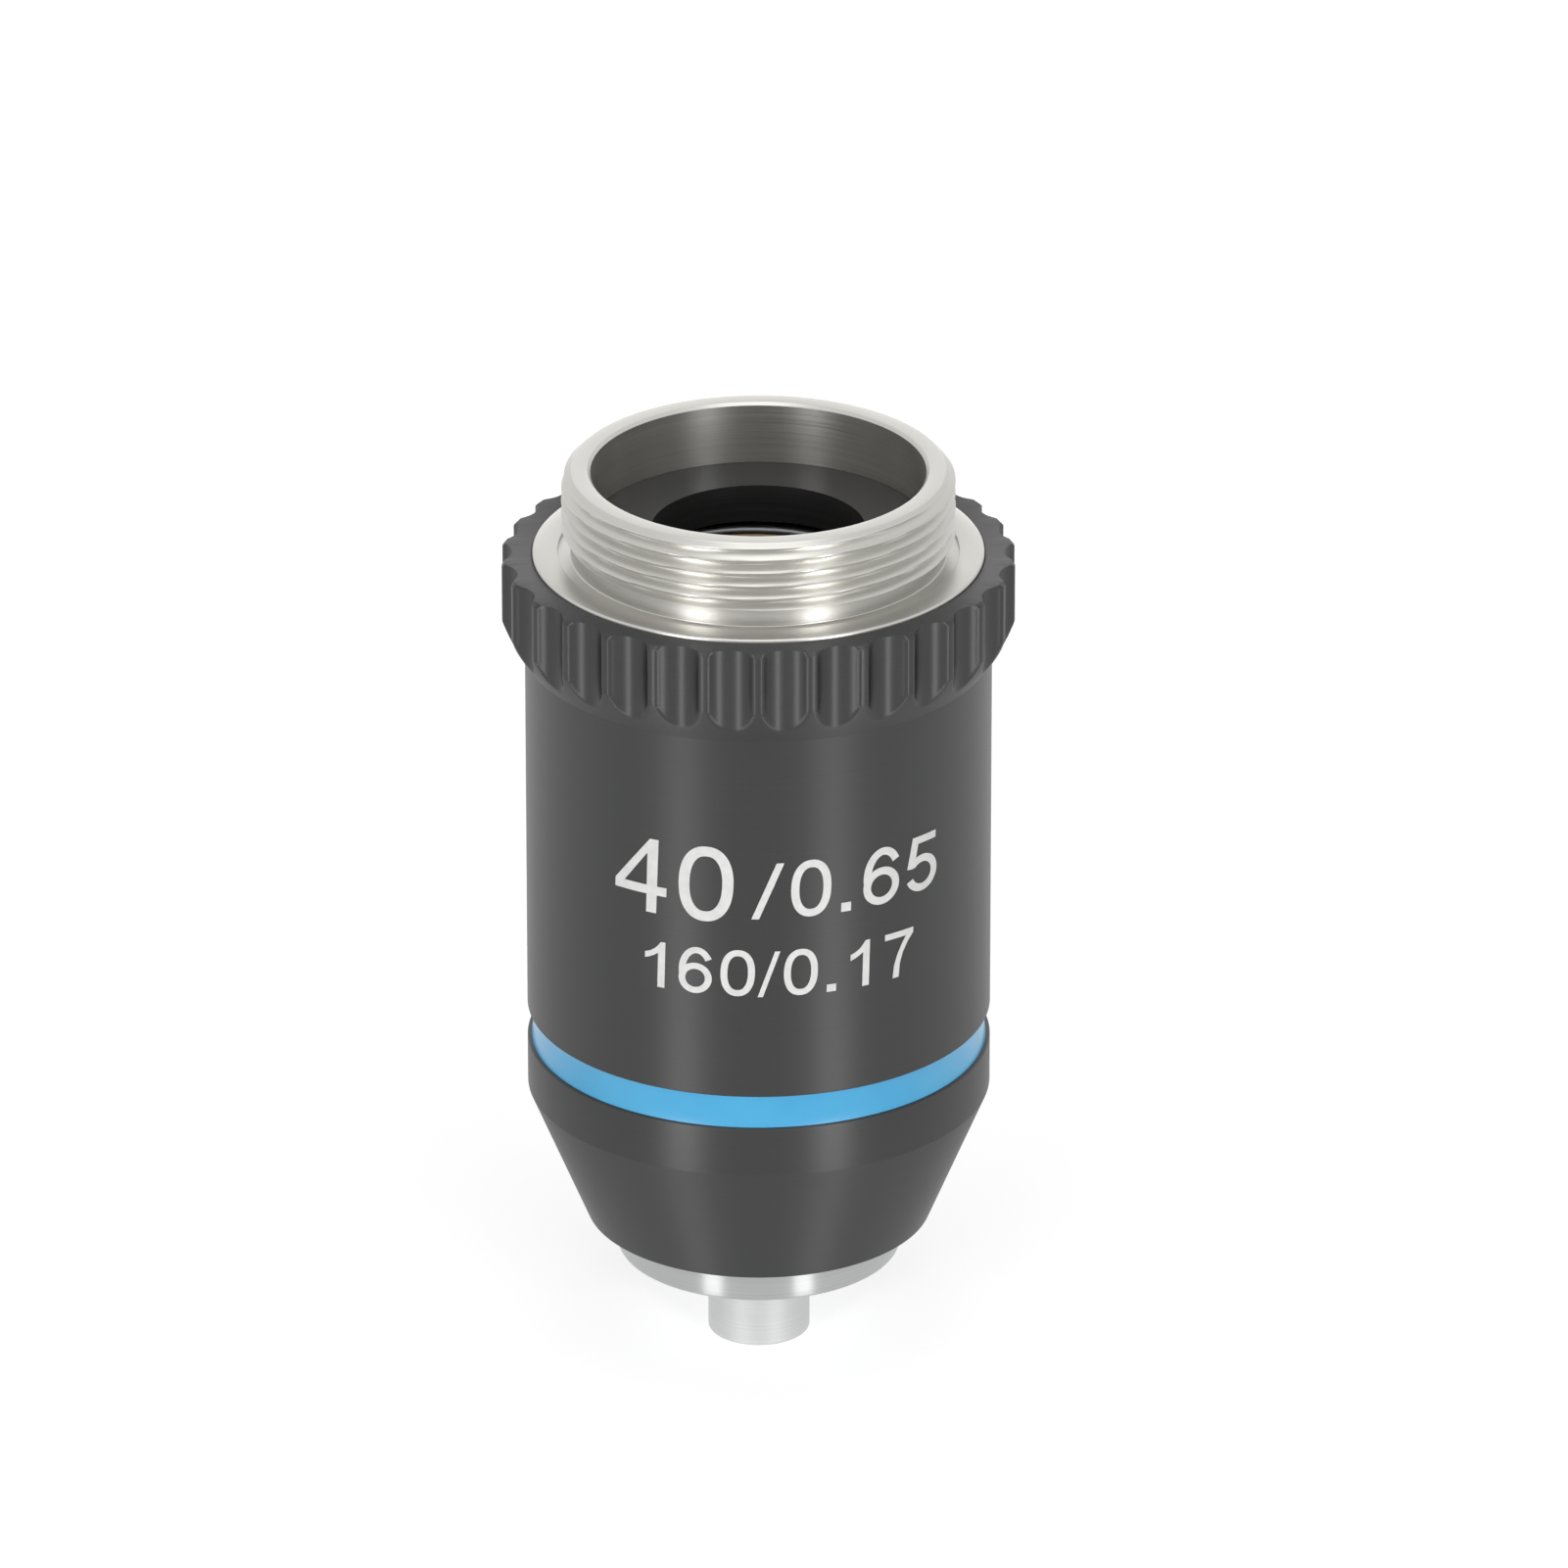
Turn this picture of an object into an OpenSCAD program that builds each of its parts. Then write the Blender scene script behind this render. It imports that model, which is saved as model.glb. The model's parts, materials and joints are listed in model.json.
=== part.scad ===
// Microscope objective, 40x achromat with a spring-loaded front.
// The seating face of the mounting thread lies at z = 0. The thread stands above it, and the front lens hangs below.

/* [Mounting thread] */
// Major diameter of the mounting thread
thread_d = 20.2; // [19.8:0.1:20.6]
// Length of the threaded spigot above the seating face
thread_len = 4.5; // [4:0.1:5.5]
// Wall of the threaded spigot
thread_wall = 1.5; // [1.2:0.1:1.7]
// Chamfer at the open end of the thread
thread_lead = 0.5; // [0.3:0.1:0.8]
// Width of the relief groove between the thread and the seating face
relief_w = 0.8; // [0.6:0.1:1]
// Depth of the relief groove
relief_depth = 0.5; // [0.4:0.05:0.6]
// Depth of the step in the seating face at the foot of the thread
seat_step = 0.15; // [0.1:0.05:0.25]
// How far that step reaches past the thread
seat_clear = 0.2; // [0.1:0.05:0.3]
// Thickness of the flange behind the seating face
flange_t = 1.6; // [1.3:0.1:2.2]
// How far the flange stands out from the neck under it
flange_step = 0.7; // [0.5:0.1:0.8]
// Length of the neck that screws into the sleeve
neck_len = 4.9; // [4:0.1:6]
// How far the neck stands out from the sleeve's main bore
neck_step = 0.3; // [0.2:0.05:0.4]

/* [Optical distances] */
// Distance from the seating face to the specimen
parfocal = 45; // [44:0.1:46]
// Free distance from the cover glass to the front lens
working_distance = 0.6; // [0.4:0.05:0.9]
// Thickness of the cover glass
cover_glass = 0.17; // [0.15:0.01:0.19]

/* [Sleeve] */
// Wall of the barrel
sleeve_wall = 1.4; // [1.2:0.1:1.6]
// How far the grip collar stands out from the barrel
collar_step = 1.2; // [1:0.1:1.4]
// Distance from the seating face to the lower end of the grip collar
collar_len = 3.4; // [3:0.1:4.5]
// Length of the taper between the collar and the barrel
collar_taper = 2.1; // [1.6:0.1:2.6]
// How far the sleeve's top face lies below the seating face
collar_recess = 0.15; // [0.1:0.05:0.3]
// Distance from one grip flute to the next, round the collar
flute_pitch = 2.75; // [2.2:0.05:3.4]
// Depth of a grip flute
flute_depth = 0.6; // [0.45:0.05:0.7]
// Width of the ridge between two grip flutes
ridge_w = 0.35; // [0.3:0.05:0.6]
// Length of the straight stretch between the colour band and the cone
band_gap = 2.65; // [2:0.05:4]
// Width of the colour band
band_w = 1.8; // [1.4:0.1:2.2]
// Depth of the groove that the band lies in
groove_depth = 0.4; // [0.3:0.05:0.6]
// Thickness of the enamel in the groove
band_t = 0.12; // [0.08:0.01:0.2]
// Length of the cone
cone_len = 7.35; // [6.8:0.05:8]
// Width of the cone's end face
cone_end_w = 1.375; // [1.2:0.025:1.6]
// Wall of the cone, measured across the axis
cone_wall = 1.2; // [1:0.1:1.3]
// Length of the straight bore at the end of the cone
cone_bore_len = 2; // [1.5:0.1:2.5]
// Chamfer on the turned edges
edge = 0.2; // [0.1:0.05:0.3]

/* [Nose] */
// Wall of the bright ring under the cone
ring_wall = 1.145; // [1:0.005:1.3]
// Height of the bright ring
ring_h = 4.1; // [3.8:0.1:4.4]
// How far the ring stands out of the cone
ring_show = 2.1; // [1.8:0.1:2.4]
// Gap between the ring and the bore of the cone
ring_gap = 0.15; // [0.1:0.05:0.25]
// Thickness of the plate that closes the ring
plate_t = 1.3; // [1:0.1:1.5]
// Diameter of the tip
tip_d = 5.3; // [5:0.1:5.8]
// Distance from the ring to the end of the tip
tip_show = 4.93; // [4.5:0.01:5.3]
// Length of the neck round the tip
nose_neck_len = 1.9; // [1.5:0.1:2.1]
// Wall of that neck at its end
nose_neck_wall = 0.42; // [0.3:0.02:0.6]
// How much wider that neck is at the ring, on each side
nose_neck_flare = 1.5; // [1.2:0.1:1.8]
// Travel of the nose against its spring
travel = 2; // [1.5:0.1:2.5]

/* [Lens tube] */
// How far the sliding collar stands out from the lens tube
slide_step = 1.75; // [1.6:0.05:2]
// Length of the sliding collar
slide_len = 9; // [8:0.1:10]
// Wall of the lens tube round the cells
tube_wall = 1.6; // [1.4:0.1:1.8]
// How far the bore above the cells stands back from the cells' bore
light_step = 0.6; // [0.4:0.1:0.8]
// Distance between the top of the pushed-in tube and the spring retainer
stem_spare = 1; // [0.6:0.1:1.5]
// Wall of the guide that the collar slides in
guide_wall = 1.3; // [1.1:0.05:1.5]
// Chamfer at the lower end of the guide
guide_lead = 0.8; // [0.6:0.1:1]
// Thickness of the ledge at the lower end of the guide
ledge_t = 1.5; // [1.2:0.1:1.8]
// Thickness of the shim that sets the focus distance
shim_t = 0.3; // [0.2:0.05:0.5]
// Gap between the pushed-in ring and the guide
stop_spare = 0.2; // [0.1:0.05:0.4]
// Depth of the guide slot
slot_depth = 0.9; // [0.8:0.05:1]

/* [Spring and retainer] */
// Wire diameter of the spring
wire_d = 0.9; // [0.7:0.05:1]
// Number of working turns of the spring
spring_turns = 6; // [5:1:8]
// Gap between the two closed turns at each end of the spring
coil_gap = 0.05; // [0.02:0.01:0.1]
// Width of the step that the spring retainer sits on
retainer_seat = 0.6; // [0.5:0.05:0.8]
// Depth from the end of the thread to the spring retainer
recess_depth = 3.3; // [2.8:0.1:3.6]
// Thickness of the spring retainer
retainer_t = 2; // [1.6:0.1:2.4]
// How far the retainer's opening stands back from the light bore
retainer_step = 0.3; // [0.1:0.1:0.5]
// Width of the spanner slots
spanner_w = 1.2; // [1:0.1:1.5]
// Depth of the spanner slots
spanner_depth = 0.7; // [0.5:0.1:0.9]

/* [Guide screw] */
// Thread diameter of the guide screw
screw_d = 1.6; // [1.4:0.1:2]
// How far the head reaches past the thread, all round
head_lap = 0.6; // [0.5:0.05:0.7]
// Height of the head
head_h = 0.9; // [0.7:0.05:1]
// Gap between the head and the sleeve
head_spare = 0.6; // [0.4:0.1:0.8]
// Depth of the spot face under the head
spot_depth = 0.2; // [0.15:0.05:0.3]
// Gap between the screw's tip and the floor of the guide slot
slot_spare = 0.25; // [0.1:0.05:0.3]
// Distance from the top of the sliding collar to the guide screw
screw_drop = 2.3; // [2:0.1:2.8]

/* [Lenses] */
// Wall of the tip round the front lens
tip_wall = 0.97; // [0.8:0.01:1.1]
// Height of the centre of the front lens's dome above its flat face
front_rise = 0.35; // [0.2:0.05:0.5]
// Width of the seat under the front lens
front_seat_w = 0.3; // [0.2:0.05:0.4]
// Thickness of the lip that holds the front lens
front_lip = 0.1; // [0.08:0.01:0.15]
// Thickness of the front cell's flange
front_flange_t = 0.8; // [0.6:0.1:1]
// Depth of the middle doublet's cemented face
mid_joint_sag = 1.18; // [1:0.02:1.3]
// Height of the middle doublet's dome
mid_top_sag = 0.9; // [0.7:0.05:1.1]
// Depth of the rear doublet's cemented face
rear_joint_sag = 1; // [0.8:0.05:1.2]
// Height of the rear doublet's dome
rear_top_sag = 0.75; // [0.6:0.05:0.9]
// Thickness of a flint lens at its centre
flint_t = 0.9; // [0.7:0.05:1.1]
// Thickness of a crown lens at its edge
crown_edge = 0.5; // [0.4:0.05:0.7]
// Thickness of the cement in a doublet
cement = 0.02; // [0.01:0.01:0.03]

/* [Lens cells] */
// Wall of the middle cell
mid_cell_wall = 1.24; // [1:0.04:1.4]
// Wall of the rear cell
rear_cell_wall = 0.94; // [0.8:0.02:1.1]
// Thickness of the lip under the lens in each cell
cell_lip_t = 0.8; // [0.6:0.1:1]
// Width of that lip
cell_lip_w = 0.5; // [0.4:0.05:0.6]
// How far the ring that holds a doublet stands above its dome
cell_ring_spare = 0.3; // [0.2:0.05:0.5]
// Wall of that ring
cell_ring_w = 0.5; // [0.4:0.05:0.6]
// Length of the spacer between the cells
spacer_len = 1.5; // [1:0.1:2]
// Wall of the spacer and of the lock ring
spacer_wall = 0.9; // [0.7:0.1:1]
// Thickness of the aperture stop
stop_t = 0.3; // [0.2:0.05:0.4]
// Width of the aperture stop, from its rim to its opening
stop_w = 1.97; // [1.7:0.01:2.2]
// Thickness of the ring that locks the cells in the tube
lock_t = 1.6; // [1.4:0.1:2]

/* [Fits] */
// Radial gap of the sliding fit
slide_gap = 0.05; // [0.03:0.01:0.08]
// Radial gap of a screwed joint
screw_gap = 0.03; // [0.02:0.01:0.05]
// Radial gap round a lens or a cell
cell_gap = 0.03; // [0.02:0.01:0.05]

/* [Hidden] */
$fn = 96;
// Facets of the large turned profiles and of the shallow lens faces
fine = 180;
// Overlap that lets a cutter pass through a face
cut = 0.5;

black = [0.16, 0.16, 0.17];
grey = [0.33, 0.33, 0.34];
nickel = [0.78, 0.78, 0.76];
chrome = [0.85, 0.86, 0.88];
brass = [0.76, 0.62, 0.34];
blue = [0.33, 0.68, 0.87];
steel = [0.6, 0.61, 0.63];
glass = [0.75, 0.86, 0.9, 0.5];
flint_glass = [0.82, 0.86, 0.78, 0.5];

// Radii from the thread inwards: recess, guide, sliding collar, lens tube, cells and lenses
thread_r = thread_d / 2;
recess_r = thread_r - thread_wall;
guide_r = recess_r - retainer_seat;
slide_r = guide_r - slide_gap;
tube_r = slide_r - slide_step;
tube_clear_r = tube_r + 2 * slide_gap;
cell_bore_r = tube_r - tube_wall;
light_r = cell_bore_r + light_step;
cell_r = cell_bore_r - cell_gap;
mid_half = cell_r - mid_cell_wall - cell_gap;
rear_half = cell_r - rear_cell_wall - cell_gap;

// Radii from the guide outwards: the guide screw's head, the sleeve, the collar and the mounting neck
guide_out_r = guide_r + guide_wall;
spot_r = guide_out_r - spot_depth;
bore_r = spot_r + head_h + head_spare;
barrel_r = bore_r + sleeve_wall;
collar_r = barrel_r + collar_step;
neck_r = bore_r + neck_step;
flange_r = neck_r + flange_step;

// Radii of the nose and of the cone's end round it
ring_r = tube_r + screw_gap + ring_wall;
cone_bore_r = ring_r + ring_gap;
cone_end_r = cone_bore_r + cone_end_w;
tip_r = tip_d / 2;
front_r = tip_r - tip_wall - cell_gap;

// Heights from the specimen upwards: tip, ring, cone and colour band
nose_z = -(parfocal - working_distance - cover_glass);
ring_z = nose_z + tip_show;
ring_top_z = ring_z + ring_h;
plate_top_z = ring_z + plate_t;
tube_z = plate_top_z + front_flange_t;
cone_end_z = ring_z + ring_show;
cone_top_z = cone_end_z + cone_len;
band_z = cone_top_z + band_gap;
band_top_z = band_z + band_w;

// Heights of the guide, which stops the nose at both ends of its travel
guide_z = ring_top_z + travel + stop_spare;
ledge_z = guide_z + ledge_t;
slide_z = ledge_z + shim_t;
slide_top_z = slide_z + slide_len;
screw_z = slide_top_z - screw_drop;
retainer_top_z = thread_len - recess_depth;
retainer_z = retainer_top_z - retainer_t;
stem_top_z = retainer_z - travel - stem_spare;

// Heights of the stacked cells
function doublet_edge(joint_sag) = flint_t + joint_sag + crown_edge + cement;
function cell_height(joint_sag, top_sag) = cell_lip_t + doublet_edge(joint_sag) + top_sag + cell_ring_spare;
mid_z = tube_z;
spacer_z = mid_z + cell_height(mid_joint_sag, mid_top_sag);
rear_z = spacer_z + spacer_len;
stop_z = rear_z + cell_height(rear_joint_sag, rear_top_sag);
lock_z = stop_z + stop_t;
lock_top_z = lock_z + lock_t;

// Radius of the ball whose cap has this half width and this height
function cap_radius(half, height) = (half * half + height * height) / (2 * height);

// A turned ring or tube between two heights
module ring(r_out, r_in, z0, z1) {
    translate([0, 0, z0])
        difference() {
            cylinder(h = z1 - z0, r = r_out);
            translate([0, 0, -cut])
                cylinder(h = z1 - z0 + 2 * cut, r = r_in);
        }
}

// Slots for a flat spanner across the top face of a ring
module spanner_slots(ring_r_out, top_z) {
    translate([-ring_r_out - cut, -spanner_w / 2, top_z - spanner_depth])
        cube([2 * (ring_r_out + cut), spanner_w, spanner_depth + cut]);
}

// Grip flutes all round the collar, with a ridge at the front
module grip_flutes() {
    count = round(2 * PI * collar_r / flute_pitch);
    half_w = PI * collar_r / count - ridge_w / 2;
    flute_r = cap_radius(half_w, flute_depth);
    for (i = [0:count - 1])
        rotate([0, 0, -90 + (i + 0.5) * 360 / count])
            translate([collar_r - flute_depth + flute_r, 0, -(collar_len + collar_taper) - cut])
                cylinder(h = collar_len + collar_taper + 2 * cut, r = flute_r);
}

// Turned shell of the collar, the barrel and the cone, with the groove for the colour band
module outer_sleeve() {
    groove_r = barrel_r - groove_depth;
    thread_bore_r = neck_r + screw_gap;
    seat_r = flange_r + screw_gap;
    cone_slope = (barrel_r - cone_end_r) / cone_len;
    floor_z = cone_end_z + cone_bore_len;
    floor_r = cone_end_r + cone_bore_len * cone_slope - cone_wall;
    inner_cone_z = floor_z + (bore_r - floor_r) / cone_slope;
    color(grey)
        difference() {
            rotate_extrude($fn = fine)
                polygon([
                    [seat_r, -collar_recess],
                    [collar_r - edge, -collar_recess],
                    [collar_r, -collar_recess - edge],
                    [collar_r, -collar_len],
                    [barrel_r, -collar_len - collar_taper],
                    [barrel_r, band_top_z + edge / 2],
                    [barrel_r - edge / 2, band_top_z],
                    [groove_r, band_top_z],
                    [groove_r, band_z],
                    [barrel_r - edge / 2, band_z],
                    [barrel_r, band_z - edge / 2],
                    [barrel_r, cone_top_z],
                    [cone_end_r + edge * cone_slope, cone_end_z + edge],
                    [cone_end_r - edge, cone_end_z],
                    [cone_bore_r, cone_end_z],
                    [cone_bore_r, floor_z],
                    [floor_r, floor_z],
                    [bore_r, inner_cone_z],
                    [bore_r, -flange_t - neck_len - edge],
                    [thread_bore_r, -flange_t - neck_len - edge],
                    [thread_bore_r, -flange_t],
                    [seat_r, -flange_t]
                ]);
            grip_flutes();
        }
}

// Enamel that fills the bottom of the groove
module colour_band() {
    groove_r = barrel_r - groove_depth;
    color(blue)
        ring(groove_r + band_t, groove_r, band_z, band_top_z);
}

// Threaded spigot, seating flange, neck and the guide for the lens tube, turned in one piece
module mount_body() {
    neck_z = -flange_t - neck_len;
    color(nickel)
        difference() {
            rotate_extrude($fn = fine)
                polygon([
                    [recess_r, thread_len],
                    [thread_r - thread_lead, thread_len],
                    [thread_r, thread_len - thread_lead],
                    [thread_r, relief_w],
                    [thread_r - relief_depth, relief_w],
                    [thread_r - relief_depth, -seat_step],
                    [thread_r + seat_clear, -seat_step],
                    [thread_r + seat_clear, 0],
                    [flange_r - edge / 2, 0],
                    [flange_r, -edge / 2],
                    [flange_r, -flange_t],
                    [neck_r, -flange_t],
                    [neck_r, neck_z + edge],
                    [neck_r - edge, neck_z],
                    [guide_out_r, neck_z],
                    [guide_out_r, guide_z + guide_lead],
                    [guide_out_r - guide_lead, guide_z],
                    [tube_clear_r, guide_z],
                    [tube_clear_r, ledge_z],
                    [guide_r, ledge_z],
                    [guide_r, retainer_z],
                    [recess_r, retainer_z]
                ]);
            translate([0, 0, screw_z])
                rotate([-90, 0, 0]) {
                    cylinder(h = guide_out_r + cut, r = screw_d / 2 + screw_gap);
                    translate([0, 0, spot_r])
                        cylinder(h = spot_depth + cut, r = screw_d / 2 + head_lap + 2 * screw_gap);
                }
        }
}

// Ring that backs the spring, with two slots for a spanner
module spring_retainer() {
    color(black)
        difference() {
            ring(recess_r - screw_gap, light_r + retainer_step, retainer_z, retainer_top_z);
            spanner_slots(recess_r, retainer_top_z);
        }
}

// Path and sections of the coil spring, with a closed turn at each end
spring_mean_r = (tube_r + guide_r) / 2;
spring_len = retainer_z - slide_top_z;
ring_steps = 20;
wire_sides = 8;
all_turns = spring_turns + 2;
closed_rise = wire_d + coil_gap;
open_rise = spring_len - wire_d - 2 * closed_rise;
function coil_z(turn) =
    turn < 1 ? turn * closed_rise
    : turn > all_turns - 1 ? spring_len - wire_d - (all_turns - turn) * closed_rise
    : closed_rise + (turn - 1) / spring_turns * open_rise;
function coil_section(k) =
    let (turn = k / ring_steps, angle = 360 * turn)
    [for (s = [0:wire_sides - 1])
        let (a = 360 * s / wire_sides, r = spring_mean_r + wire_d / 2 * cos(a))
        [r * cos(angle), r * sin(angle), slide_top_z + coil_z(turn) + wire_d / 2 * (1 + sin(a))]];

// Coil spring that pushes the nose out
module compression_spring() {
    last = all_turns * ring_steps;
    points = [for (k = [0:last]) each coil_section(k)];
    sides = [for (k = [0:last - 1], s = [0:wire_sides - 1])
        let (n = (s + 1) % wire_sides, a = k * wire_sides, b = a + wire_sides)
        [a + s, a + n, b + n, b + s]];
    first_end = [for (s = [0:wire_sides - 1]) wire_sides - 1 - s];
    last_end = [for (s = [0:wire_sides - 1]) last * wire_sides + s];
    color(steel)
        polyhedron(points = points, faces = concat([first_end], sides, [last_end]), convexity = 10);
}

// Cheese-head screw that keeps the lens tube from turning
module guide_screw() {
    head_r = screw_d / 2 + head_lap;
    tip_at = slide_r - slot_depth + slot_spare;
    driver_w = screw_d / 4;
    color(steel)
        translate([0, 0, screw_z])
            rotate([-90, 0, 0])
                difference() {
                    union() {
                        translate([0, 0, tip_at])
                            cylinder(h = spot_r - tip_at, r = screw_d / 2);
                        translate([0, 0, spot_r])
                            cylinder(h = head_h, r = head_r);
                    }
                    translate([-head_r - cut, -driver_w / 2, spot_r + head_h / 2])
                        cube([2 * (head_r + cut), driver_w, head_h]);
                }
}

// Shim between the ledge of the guide and the sliding collar
module focus_shim() {
    color(brass)
        ring(guide_r - slide_gap, tube_clear_r, ledge_z, slide_z);
}

// Sliding tube that carries the nose and all the lens cells
module lens_tube() {
    slot_w = screw_d + 2 * slide_gap;
    slot_z = screw_z - travel - screw_d;
    color(brass)
        difference() {
            rotate_extrude($fn = fine)
                polygon([
                    [light_r, stem_top_z],
                    [tube_r, stem_top_z],
                    [tube_r, slide_top_z],
                    [slide_r - edge, slide_top_z],
                    [slide_r, slide_top_z - edge],
                    [slide_r, slide_z],
                    [tube_r, slide_z],
                    [tube_r, tube_z],
                    [cell_bore_r, tube_z],
                    [cell_bore_r, lock_top_z + edge],
                    [light_r, lock_top_z + edge]
                ]);
            translate([-slot_w / 2, slide_r - slot_depth, slot_z])
                cube([slot_w, slot_depth + cut, slide_top_z - slot_z + cut]);
        }
}

// Bright ring, the plate that closes it and the neck round the tip
module nose_shell() {
    tip_bore_r = tip_r + screw_gap;
    tube_bore_r = tube_r + screw_gap;
    neck_end_r = tip_bore_r + nose_neck_wall;
    neck_z = ring_z - nose_neck_len;
    color(chrome)
        rotate_extrude($fn = fine)
            polygon([
                [tube_bore_r, ring_top_z],
                [ring_r - edge, ring_top_z],
                [ring_r, ring_top_z - edge],
                [ring_r, ring_z + edge],
                [ring_r - edge, ring_z],
                [neck_end_r + nose_neck_flare, ring_z],
                [neck_end_r, neck_z],
                [tip_bore_r, neck_z],
                [tip_bore_r, plate_top_z],
                [tube_bore_r, plate_top_z]
            ]);
}

// Half width of the front lens's flat face
front_flat_r = sqrt(front_r * front_r - front_rise * front_rise);

// Tip with the seat of the front lens and a flange clamped under the lens tube
module front_cell() {
    seat_z = nose_z + front_lip;
    open_r = front_flat_r - front_seat_w;
    pocket_r = front_r + cell_gap;
    throat_r = (pocket_r + tip_r) / 2;
    color(chrome)
        rotate_extrude()
            polygon([
                [open_r, nose_z],
                [tip_r - 2 * edge, nose_z],
                [tip_r, nose_z + edge],
                [tip_r, plate_top_z],
                [tube_r - screw_gap, plate_top_z],
                [tube_r - screw_gap, tube_z],
                [throat_r + front_flange_t, tube_z],
                [throat_r, plate_top_z],
                [pocket_r, seat_z + front_rise + front_r],
                [pocket_r, seat_z],
                [open_r, seat_z]
            ]);
}

// Front lens: more than half a ball, ground flat towards the specimen
module front_lens() {
    color(glass)
        translate([0, 0, nose_z + front_lip])
            intersection() {
                translate([0, 0, front_rise])
                    sphere(r = front_r);
                cylinder(h = front_rise + front_r + cut, r = front_r + cut);
            }
}

// Brass cup that holds a doublet on a lip
module lens_cell(half, height, z0) {
    color(brass)
        difference() {
            translate([0, 0, z0])
                cylinder(h = height, r = cell_r);
            translate([0, 0, z0 + cell_lip_t])
                cylinder(h = height, r = half + cell_gap);
            translate([0, 0, z0 - cut])
                cylinder(h = height, r = half - cell_lip_w);
        }
}

// Lower lens of a doublet: flat below, hollow above
module flint_lens(half, joint_sag, z0) {
    joint_r = cap_radius(half, joint_sag);
    color(flint_glass)
        translate([0, 0, z0 + cell_lip_t])
            difference() {
                cylinder(h = flint_t + joint_sag, r = half);
                translate([0, 0, flint_t + joint_r])
                    sphere(r = joint_r, $fn = fine);
            }
}

// Upper lens of a doublet: domed on both faces
module crown_lens(half, joint_sag, top_sag, z0) {
    joint_r = cap_radius(half, joint_sag);
    top_r = cap_radius(half, top_sag);
    bottom = flint_t + cement;
    dome_top = doublet_edge(joint_sag) + top_sag;
    color(glass)
        translate([0, 0, z0 + cell_lip_t])
            intersection() {
                translate([0, 0, bottom])
                    cylinder(h = dome_top - bottom + cut, r = half);
                translate([0, 0, bottom + joint_r])
                    sphere(r = joint_r, $fn = fine);
                translate([0, 0, dome_top - top_r])
                    sphere(r = top_r, $fn = fine);
            }
}

// Ring that holds a doublet down, cut back inside to clear its dome
module lens_ring(half, low, high) {
    color(black)
        rotate_extrude()
            polygon([
                [half, low],
                [half, high],
                [half - cell_ring_w, high],
                [half - cell_ring_w, low + cell_ring_w]
            ]);
}

module middle_cell() { lens_cell(mid_half, cell_height(mid_joint_sag, mid_top_sag), mid_z); }
module middle_flint() { flint_lens(mid_half, mid_joint_sag, mid_z); }
module middle_crown() { crown_lens(mid_half, mid_joint_sag, mid_top_sag, mid_z); }
module middle_ring() { lens_ring(mid_half, mid_z + cell_lip_t + doublet_edge(mid_joint_sag), spacer_z); }
module rear_cell() { lens_cell(rear_half, cell_height(rear_joint_sag, rear_top_sag), rear_z); }
module rear_flint() { flint_lens(rear_half, rear_joint_sag, rear_z); }
module rear_crown() { crown_lens(rear_half, rear_joint_sag, rear_top_sag, rear_z); }
module rear_ring() { lens_ring(rear_half, rear_z + cell_lip_t + doublet_edge(rear_joint_sag), stop_z); }

// Spacer between the two cells
module cell_spacer() {
    color(brass)
        ring(cell_r, cell_r - spacer_wall, spacer_z, rear_z);
}

// Thin blackened disc that limits the light cone
module aperture_stop() {
    color(black)
        ring(cell_r, cell_r - stop_w, stop_z, lock_z);
}

// Screwed ring with spanner slots that locks the stack of cells
module lock_ring() {
    color(black)
        difference() {
            ring(cell_r, cell_r - spacer_wall, lock_z, lock_top_z);
            spanner_slots(cell_bore_r, lock_top_z);
        }
}

outer_sleeve();
colour_band();
mount_body();
spring_retainer();
compression_spring();
guide_screw();
focus_shim();
lens_tube();
nose_shell();
front_cell();
front_lens();
middle_cell();
middle_flint();
middle_crown();
middle_ring();
cell_spacer();
rear_cell();
rear_flint();
rear_crown();
rear_ring();
aperture_stop();
lock_ring();
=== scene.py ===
"""Looks of a microscope objective: satin coated shell, plated thread, brass inner parts and coated lenses.

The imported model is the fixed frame. Lengths of the object are in millimetres, in the part's own axes: the
seating face is at z = 0, the thread stands above it, and the front, where the figures are, looks along -Y.
The lamps, the camera and the reach of the floor are in metres.
"""

import json
import math

import bmesh
import bpy
import numpy as np
from mathutils import Matrix, Vector
from mathutils.geometry import delaunay_2d_cdt


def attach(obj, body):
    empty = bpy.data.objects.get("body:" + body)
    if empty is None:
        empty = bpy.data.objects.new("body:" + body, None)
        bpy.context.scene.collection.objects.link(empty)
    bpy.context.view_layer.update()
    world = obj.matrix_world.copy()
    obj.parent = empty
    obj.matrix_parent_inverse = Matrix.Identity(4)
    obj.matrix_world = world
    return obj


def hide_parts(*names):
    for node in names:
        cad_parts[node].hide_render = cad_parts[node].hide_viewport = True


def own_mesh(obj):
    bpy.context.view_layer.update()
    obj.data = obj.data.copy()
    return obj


MM = 0.001

# Edge and clearance that several pieces share
EDGE = 0.2
SCREW_GAP = 0.03

# Mounting thread: 36 turns to the inch, with flanks softened by this share
THREAD_R = 10.1
THREAD_TOP = 4.5
THREAD_LEAD = 0.5
THREAD_PITCH = 25.4 / 36
THREAD_DEPTH = 0.64 * THREAD_PITCH
THREAD_SOFTNESS = 0.4
MOUTH_CHAMFER = 0.15
RELIEF_R = THREAD_R - 0.5
RELIEF_TOP = 0.8
SEAT_STEP = 0.15
SEAT_STEP_R = THREAD_R + 0.2

# The thread is cut outside this radius and between these heights, in a mesh with rings this far apart
THREAD_CUT_R = RELIEF_R + 0.05
THREAD_CUT_LOW = RELIEF_TOP + 0.01
THREAD_CUT_TOP = THREAD_TOP - 0.01
THREAD_RING_STEP = 0.045

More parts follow.
